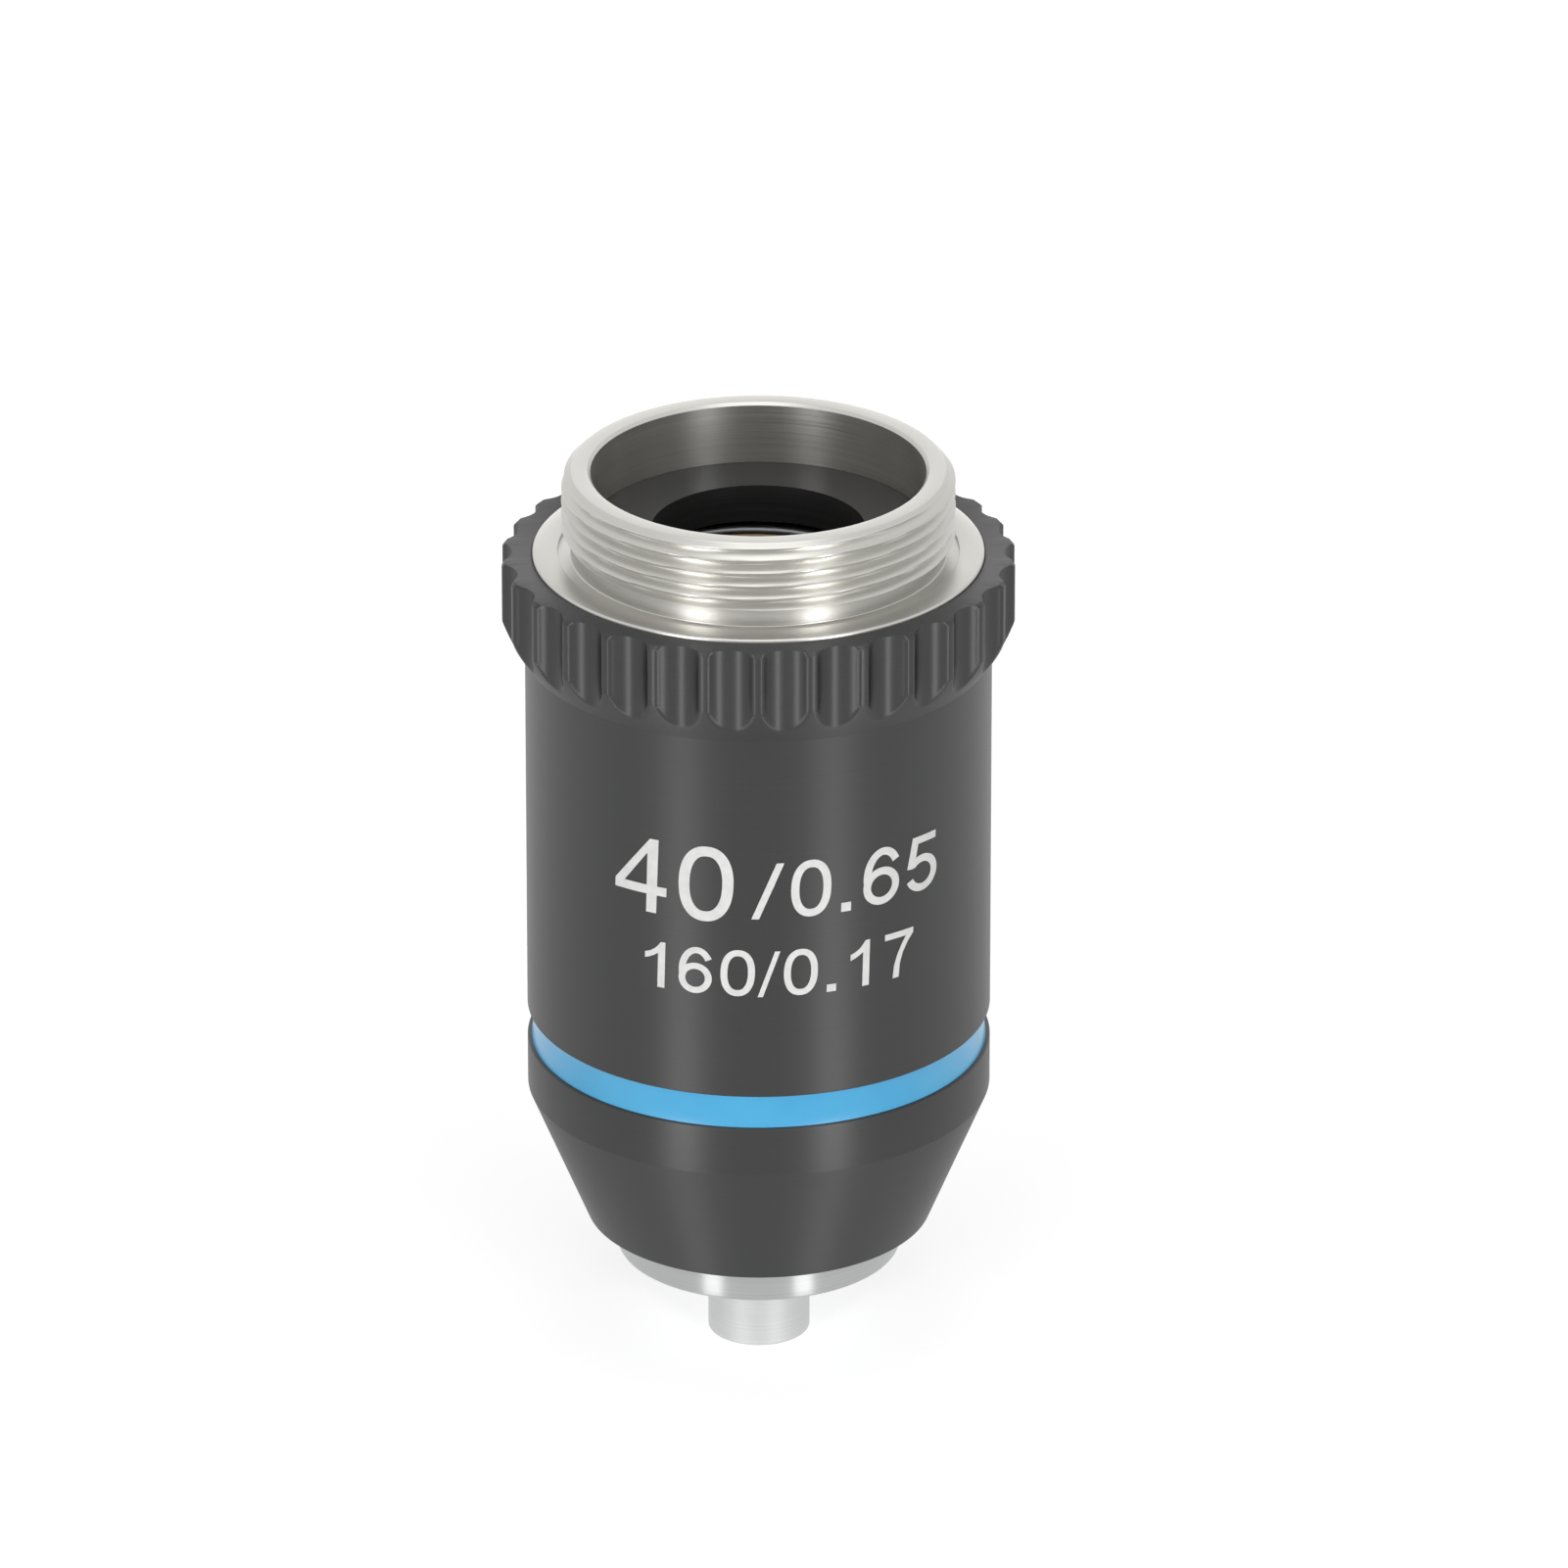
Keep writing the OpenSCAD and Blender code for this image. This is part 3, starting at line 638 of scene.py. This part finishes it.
def build_spring(material):
    """Round wire coil with a closed turn at each end, which the nose presses when it is pushed in."""
    length = RETAINER_Z - COIL_LOW
    full_rise = length - 2 * WIRE_R
    last = COIL_TURNS * STEPS_A_TURN
    turn = np.linspace(0, COIL_TURNS, last + 1)
    rise = np.interp(turn, [0, 1, COIL_TURNS - 1, COIL_TURNS],
                     [0, CLOSED_RISE, full_rise - CLOSED_RISE, full_rise])
    along = 2 * math.pi * turn[:, None]
    round_wire = np.linspace(0, 2 * math.pi, WIRE_SIDES, endpoint=False)[None, :]
    radius = COIL_R + WIRE_R * np.cos(round_wire)
    height = COIL_LOW + rise[:, None] + WIRE_R * (1 + np.sin(round_wire))
    points = np.stack([radius * np.cos(along), radius * np.sin(along), height], axis=-1)
    faces = [list(range(WIRE_SIDES))[::-1], list(range(last * WIRE_SIDES, (last + 1) * WIRE_SIDES))]
    for near in range(0, last * WIRE_SIDES, WIRE_SIDES):
        far = near + WIRE_SIDES
        for i in range(WIRE_SIDES):
            after = (i + 1) % WIRE_SIDES
            faces.append([near + i, near + after, far + after, far + i])
    mesh = outward_mesh("coil_spring", points.reshape(-1, 3).tolist(), faces)
    spring = finish_mesh("coil_spring", mesh, "body", material, sharp=50)
    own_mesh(spring)
    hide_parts("compression_spring")


def build_nose(material):
    """Bright ring under the cone, with the plate across it and the neck round the tip."""
    corners = [
        (TUBE_BORE_R, RING_TOP),
        (RING_R, RING_TOP, EDGE),
        (RING_R, RING_Z, 0.22),
        (NOSE_NECK_R, RING_Z, 0.15),
        (NOSE_NECK_END_R, NOSE_NECK_Z, 0.12),
        (TIP_BORE_R, NOSE_NECK_Z, 0.05),
        (TIP_BORE_R, PLATE_TOP),
        (TUBE_BORE_R, PLATE_TOP),
    ]
    mesh = lathe_mesh("bright_ring", rounded(corners), segments=360)
    nose = finish_mesh("bright_ring", mesh, "nose", material)
    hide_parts("nose_shell")


def build_tip(material):
    """Tip that holds the front lens, with the flange that the nose clamps on the lens tube."""
    chamfer = EDGE / 2
    corners = [
        (TIP_HOLE_R, NOSE_Z),
        (TIP_R - chamfer, NOSE_Z, 0.3),
        (TIP_R, NOSE_Z + chamfer, 0.3),
        (TIP_R, PLATE_TOP, 0.02),
        (TIP_FLANGE_R, PLATE_TOP),
        (TIP_FLANGE_R, PLATE_TOP + TIP_FLANGE_T, 0.05),
        (TIP_THROAT_R + TIP_FLANGE_T, PLATE_TOP + TIP_FLANGE_T, 0.05),
        (TIP_THROAT_R, PLATE_TOP),
        (LENS_POCKET_R, LENS_POCKET_TOP),
        (LENS_POCKET_R, LENS_SEAT_Z),
        (TIP_HOLE_R, LENS_SEAT_Z),
    ]
    mesh = lathe_mesh("lens_tip", rounded(corners), segments=180)
    tip = finish_mesh("lens_tip", mesh, "nose", material)
    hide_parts("front_cell")


# Figures


def arc(cx, cy, rx, ry, start, end, power=2.0, step=7):
    """Points on an ellipse, or on a squarer one with a higher power, between two angles in degrees."""
    points = []
    count = max(3, int(abs(end - start) / step))
    for k in range(count + 1):
        a = math.radians(start + (end - start) * k / count)
        c = math.cos(a)
        s = math.sin(a)
        x = cx + rx * math.copysign(abs(c) ** (2 / power), c)
        y = cy + ry * math.copysign(abs(s) ** (2 / power), s)
        points.append((x, y))
    return points


# Each figure in a line one unit high: its width, the outlines of its straight parts and the middle of its
# round strokes
FIGURES = {
    "0": (0.665, [], [arc(0.3325, 0.5, 0.3325 - STROKE / 2, 0.508 - STROKE / 2, 90, 450, 2.3)]),
    "1": (0.46, [[(0.30, 0.0), (0.46, 0.0), (0.46, 1.0), (0.355, 1.0), (0.30, 0.925), (0.22, 0.84),
                  (0.12, 0.775), (0.0, 0.73), (0.0, 0.60), (0.10, 0.635), (0.21, 0.69), (0.30, 0.75)]], []),
    "4": (0.70, [[(0.44, 0.0), (0.572, 0.0), (0.578, 0.5), (0.583, 1.0), (0.47, 1.0), (0.44, 0.95)],
                 [(0.0, 0.245), (0.70, 0.245), (0.70, 0.365), (0.0, 0.365)],
                 [(0.0, 0.365), (0.133, 0.365), (0.455, 0.825), (0.50, 0.97), (0.47, 1.0)]], []),
    "5": (0.66, [[(0.12, 0.87), (0.62, 0.87), (0.62, 1.0), (0.12, 1.0)],
                 [(0.02, 0.465), (0.145, 0.45), (0.17, 0.50), (0.25, 0.96), (0.20, 1.0), (0.12, 1.0)]],
          [arc(0.33, 0.335, 0.33 - STROKE / 2, 0.325 - STROKE / 2, 141, -160)]),
    "6": (0.66, [], [arc(0.35, 0.5, 0.35 - STROKE / 2, 0.508 - STROKE / 2, 33, 198),
                     arc(0.33, 0.325, 0.33 - STROKE / 2, 0.333 - STROKE / 2, 90, 450)]),
    "7": (0.64, [[(0.0, 1.0), (0.0, 0.865), (0.475, 0.865), (0.39, 0.73), (0.29, 0.52), (0.215, 0.27),
                  (0.19, 0.0), (0.325, 0.0), (0.345, 0.30), (0.41, 0.53), (0.52, 0.73), (0.64, 0.885),
                  (0.64, 1.0)]], []),
    "/": (0.36, [[(0.0, -0.02), (0.088, -0.02), (0.36, 0.98), (0.272, 0.98)]], []),
    ".": (0.15, [[(0.0, 0.0), (0.15, 0.0), (0.15, 0.16), (0.0, 0.16)]], []),
}

# Each line's foot and height, and each figure's left end and width, measured round the barrel from its
# front
PRINT_LINES = [
    (-15.55, 4.12, [("4", -7.80, 3.02), ("0", -4.13, 2.87)]),
    (-15.28, 3.11, [("/", -0.31, 1.60), ("0", 1.68, 2.10), (".", 4.35, 0.54), ("6", 5.56, 2.14),
                    ("5", 8.16, 2.17)]),
    (-19.66, 2.55, [("1", -6.04, 1.14), ("6", -4.14, 1.76), ("0", -1.94, 1.77), ("/", 0.0, 1.09),
                    ("0", 1.31, 1.76), (".", 3.57, 0.50), ("1", 4.82, 1.08), ("7", 6.80, 1.80)]),
]


def ribbon(path, width):
    """Four-cornered pieces along a smooth path of points, each as wide as the stroke."""
    points = np.array(path, float)
    if np.allclose(points[0], points[-1]):
        along = np.roll(points[:-1], -1, axis=0) - np.roll(points[:-1], 1, axis=0)
        along = np.vstack([along, along[:1]])
    else:
        along = np.gradient(points, axis=0)
    across = np.stack([-along[:, 1], along[:, 0]], axis=1)
    across *= width / 2 / np.linalg.norm(across, axis=1)[:, None]
    left = points + across
    right = points - across
    return [[left[i], right[i], right[i + 1], left[i + 1]] for i in range(len(points) - 1)]


def divided(outline, step=0.07):
    """The same closed outline with no side longer than step."""
    points = []
    for a, b in zip(outline, outline[1:] + outline[:1]):
        count = max(1, math.ceil(math.dist(a, b) / step))
        for k in range(count):
            points.append((a[0] + (b[0] - a[0]) * k / count, a[1] + (b[1] - a[1]) * k / count))
    return points


def wrapped(along, height, radius):
    """A place on the barrel from a distance round it, measured from the front."""
    angle = along / BARREL_R
    return Vector((radius * math.sin(angle), -radius * math.cos(angle), height))


def add_figure(skin, sign, left, width, foot, height):
    """Adds one figure to the skin as flat faces that lie round the barrel."""
    own_width, straight, round_strokes = FIGURES[sign]
    outlines = [divided(outline) for outline in straight]
    outlines += [quad for path in round_strokes for quad in ribbon(path, STROKE)]
    corners = []
    shapes = []
    for outline in outlines:
        shapes.append(list(range(len(corners), len(corners) + len(outline))))
        for x, y in outline:
            lean = (y - 0.5) * height * LEAN
            corners.append(Vector((left + x * width / own_width + lean, foot + y * height)))
    flat, _, faces, _, _, covered_by = delaunay_2d_cdt(corners, [], shapes, INSIDE_ONLY, SAME_PLACE)
    made = [skin.verts.new(wrapped(x, z, BARREL_R + PAINT_FOOT)) for x, z in flat]
    for face, shapes_here in zip(faces, covered_by):
        if shapes_here:
            skin.faces.new([made[i] for i in face])


def build_figures(material):
    """Printed figures that lie round the barrel as thin raised strokes."""
    skin = bmesh.new()
    for foot, height, row in PRINT_LINES:
        for sign, left, width in row:
            add_figure(skin, sign, left, width, foot, height)
    bmesh.ops.remove_doubles(skin, verts=skin.verts, dist=1e-4)
    bmesh.ops.recalc_face_normals(skin, faces=skin.faces)
    raised = bmesh.ops.extrude_face_region(skin, geom=list(skin.faces))
    for vertex in (v for v in raised["geom"] if isinstance(v, bmesh.types.BMVert)):
        out = Vector((vertex.co.x, vertex.co.y, 0)).normalized()
        vertex.co += out * PAINT_THICKNESS
    bmesh.ops.recalc_face_normals(skin, faces=skin.faces)
    mesh = bpy.data.meshes.new("barrel_figures")
    skin.to_mesh(mesh)
    skin.free()
    finish_mesh("barrel_figures", mesh, "body", material)


# Stage


def place_facing(name, data, azimuth, elevation, distance):
    """Links a lamp or a camera that faces the object.

    Azimuth 0 is over the front, and positive is to the right of it.
    """
    target = Vector(LOOK_AT) * MM
    a = math.radians(azimuth)
    e = math.radians(elevation)
    away = Vector((math.sin(a) * math.cos(e), -math.cos(a) * math.cos(e), math.sin(e)))
    placed = bpy.data.objects.new(name, data)
    placed.location = target + distance * away
    placed.rotation_euler = (target - placed.location).to_track_quat("-Z", "Y").to_euler()
    bpy.context.scene.collection.objects.link(placed)
    return placed


def build_camera():
    """A long lens, a little above the object."""
    camera_data = bpy.data.cameras.new("camera")
    camera_data.sensor_width = CAMERA_SENSOR
    camera_data.lens = CAMERA_LENS
    camera_data.clip_start, camera_data.clip_end = CAMERA_CLIP
    bpy.context.scene.camera = place_facing("camera", camera_data, 0, CAMERA_ELEVATION, CAMERA_DISTANCE)


def build_lamps():
    """Two tall soft boxes in front, one above and one behind."""
    for name, azimuth, elevation, distance, size, power in LAMPS:
        light = bpy.data.lights.new(name, "AREA")
        light.shape = "RECTANGLE"
        light.size, light.size_y = size
        light.energy = power
        place_facing(name, light, azimuth, elevation, distance)


def background_rays(tree):
    """1 for the rays that show the white background: those of the camera, of reflections and in glass."""
    path = add_node(tree, "ShaderNodeLightPath")
    seen = add_node(tree, "ShaderNodeMath", operation="MAXIMUM")
    through = add_node(tree, "ShaderNodeMath", operation="MAXIMUM")
    tree.links.new(path.outputs["Is Camera Ray"], seen.inputs[0])
    tree.links.new(path.outputs["Is Glossy Ray"], seen.inputs[1])
    tree.links.new(seen.outputs[0], through.inputs[0])
    tree.links.new(path.outputs["Is Transmission Ray"], through.inputs[1])
    return through


def make_floor_white():
    """White where the camera, a reflection or glass shows it, with the object's shadow on it."""
    material, tree, shader = new_material(
        "floor_white", Base_Color=FLOOR_GREY, Roughness=0.9, Emission_Color=WHITE, Specular_IOR_Level=0.0)
    through = background_rays(tree)
    lift = add_node(tree, "ShaderNodeMath", operation="MULTIPLY")
    lift.inputs[1].default_value = FLOOR_LIFT
    tree.links.new(through.outputs[0], lift.inputs[0])
    tree.links.new(lift.outputs[0], shader.inputs["Emission Strength"])
    return material


def build_floor():
    """A wide white floor just under the tip."""
    corners = [(-1, -1), (1, -1), (1, 1), (-1, 1)]
    points = [(x * FLOOR_REACH, y * FLOOR_REACH, FLOOR_Z * MM) for x, y in corners]
    mesh = bpy.data.meshes.new("floor")
    mesh.from_pydata(points, [], [(0, 1, 2, 3)])
    mesh.materials.append(make_floor_white())
    floor = bpy.data.objects.new("floor", mesh)
    bpy.context.scene.collection.objects.link(floor)


def build_world():
    """An even world: dim light on the object, and white where the camera, a reflection or glass shows it."""
    world = bpy.data.worlds.new("studio")
    world.use_nodes = True
    bpy.context.scene.world = world
    tree = world.node_tree
    sky = tree.nodes["Background"]
    sky.inputs["Color"].default_value = WHITE
    through = background_rays(tree)
    level = add_node(tree, "ShaderNodeMapRange")
    level.inputs["To Min"].default_value = WORLD_LEVEL
    level.inputs["To Max"].default_value = SEEN_LEVEL
    tree.links.new(through.outputs[0], level.inputs["Value"])
    tree.links.new(level.outputs["Result"], sky.inputs["Strength"])


with open("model.json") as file:
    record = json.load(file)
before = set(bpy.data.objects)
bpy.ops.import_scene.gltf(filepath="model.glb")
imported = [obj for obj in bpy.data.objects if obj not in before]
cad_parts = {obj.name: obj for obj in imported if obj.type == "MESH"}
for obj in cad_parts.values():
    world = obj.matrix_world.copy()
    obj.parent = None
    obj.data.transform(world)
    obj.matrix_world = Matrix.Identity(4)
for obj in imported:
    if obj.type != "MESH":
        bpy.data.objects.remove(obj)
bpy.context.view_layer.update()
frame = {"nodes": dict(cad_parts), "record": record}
build_camera()

materials = make_materials()
dress_frame(frame, materials)

build_sleeve(materials["sleeve_paint"])
build_band(materials["band_enamel"])
build_mount(materials["plated_body"])
build_spring(materials["spring_steel"])
build_nose(materials["nose_chrome"])
build_tip(materials["tip_plate"])
build_figures(materials["figure_paint"])

build_floor()
build_world()
build_lamps()
bpy.context.scene.view_settings.view_transform = "Standard"
